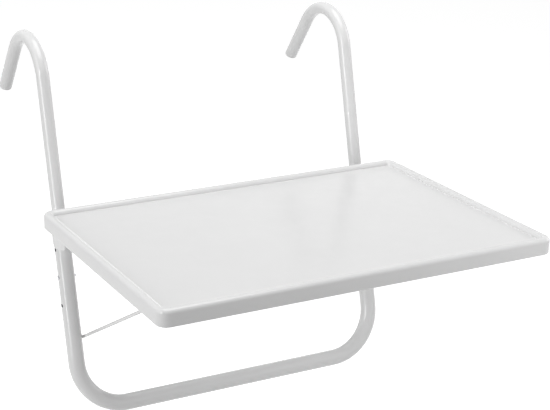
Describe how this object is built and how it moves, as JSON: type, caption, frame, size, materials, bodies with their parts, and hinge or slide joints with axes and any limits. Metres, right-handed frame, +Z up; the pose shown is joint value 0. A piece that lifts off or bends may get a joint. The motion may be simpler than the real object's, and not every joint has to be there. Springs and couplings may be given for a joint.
{
  "type": "hanging railing table",
  "caption": "Folding bar table that hangs on a balcony railing by two hooked tubes, with a moulded tray top on a leaning tube frame and a wire support bail.",
  "frame": {"origin": "midway between the two hooks, on the highest point inside them, where the top of the railing touches", "axes": "+X along the railing, +Y away from the user over the railing, +Z up"},
  "size_m": [0.6, 0.6619, 0.5527],
  "materials": {
    "white_tabletop": "satin moulded white",
    "white_frame": "white powder coat",
    "white_hook": "white powder coat",
    "white_bush": "satin white",
    "spring_plastic": "satin natural white",
    "spring_steel": "bright",
    "zinc_steel": "zinc plated"
  },
  "bodies": {
    "frame": {"lower_frame": "white_frame", "hinge_plate_left": "white_frame", "hinge_plate_right": "white_frame", "guide_bush_left": "white_bush", "guide_bush_right": "white_bush"},
    "tabletop": {"tabletop": "white_tabletop", "pivot_bolt_left": "zinc_steel", "pivot_bolt_right": "zinc_steel", "pivot_nut_left": "zinc_steel", "pivot_nut_right": "zinc_steel", "pivot_washers_left": "zinc_steel", "pivot_washers_right": "zinc_steel", "bail_clip_left": "spring_plastic", "bail_clip_right": "spring_plastic", "clip_screws_left": "zinc_steel", "clip_screws_right": "zinc_steel"},
    "bail": {"support_bail": "white_frame"},
    "hook_left": {"hook_tube_left": "white_hook", "hook_plug_left": "white_bush", "tube_glide_left": "white_bush", "height_clip_left": "spring_steel"},
    "hook_right": {"hook_tube_right": "white_hook", "hook_plug_right": "white_bush", "tube_glide_right": "white_bush", "height_clip_right": "spring_steel"},
    "button_left_outer": {"height_button_left_outer": "zinc_steel"},
    "button_left_inner": {"height_button_left_inner": "zinc_steel"},
    "button_right_outer": {"height_button_right_outer": "zinc_steel"},
    "button_right_inner": {"height_button_right_inner": "zinc_steel"}
  },
  "joints": [
    {"name": "tabletop_fold", "type": "hinge", "parent": "frame", "child": "tabletop", "pos_m": [0, -0.16517, -0.22711], "axis": [1, 0, 0], "range_deg": [0, 75]},
    {"name": "bail_swing", "type": "hinge", "parent": "frame", "child": "bail", "pos_m": [0, -0.16295, -0.41199], "axis": [1, 0, 0], "range_deg": [0, 95], "deforming": ["bail_clip_left", "bail_clip_right"]},
    {"name": "hook_slide_left", "type": "slide", "parent": "frame", "child": "hook_left", "axis": [0, 0.2588, 0.9659], "range_m": [-0.042, 0.042], "deforming": ["height_clip_left", "height_button_left_outer", "height_button_left_inner"]},
    {"name": "hook_slide_right", "type": "slide", "parent": "frame", "child": "hook_right", "axis": [0, 0.2588, 0.9659], "range_m": [-0.042, 0.042], "deforming": ["height_clip_right", "height_button_right_outer", "height_button_right_inner"]},
    {"name": "button_press_left", "type": "slide", "parent": "hook_left", "child": "button_left_outer", "axis": [1, 0, 0], "range_m": [0, 0.0042], "stiffness_N_per_m": 1500},
    {"name": "button_press_left_inner", "type": "slide", "parent": "hook_left", "child": "button_left_inner", "axis": [-1, 0, 0], "range_m": [0, 0.0042], "stiffness_N_per_m": 1500},
    {"name": "button_press_right", "type": "slide", "parent": "hook_right", "child": "button_right_outer", "axis": [-1, 0, 0], "range_m": [0, 0.0042], "stiffness_N_per_m": 1500},
    {"name": "button_press_right_inner", "type": "slide", "parent": "hook_right", "child": "button_right_inner", "axis": [1, 0, 0], "range_m": [0, 0.0042], "stiffness_N_per_m": 1500}
  ],
  "couplings": [
    {"joint": "bail_swing", "follows": "tabletop_fold", "ratio": 1.2666},
    {"joint": "button_press_left_inner", "follows": "button_press_left", "ratio": 1},
    {"joint": "button_press_right_inner", "follows": "button_press_right", "ratio": 1}
  ]
}
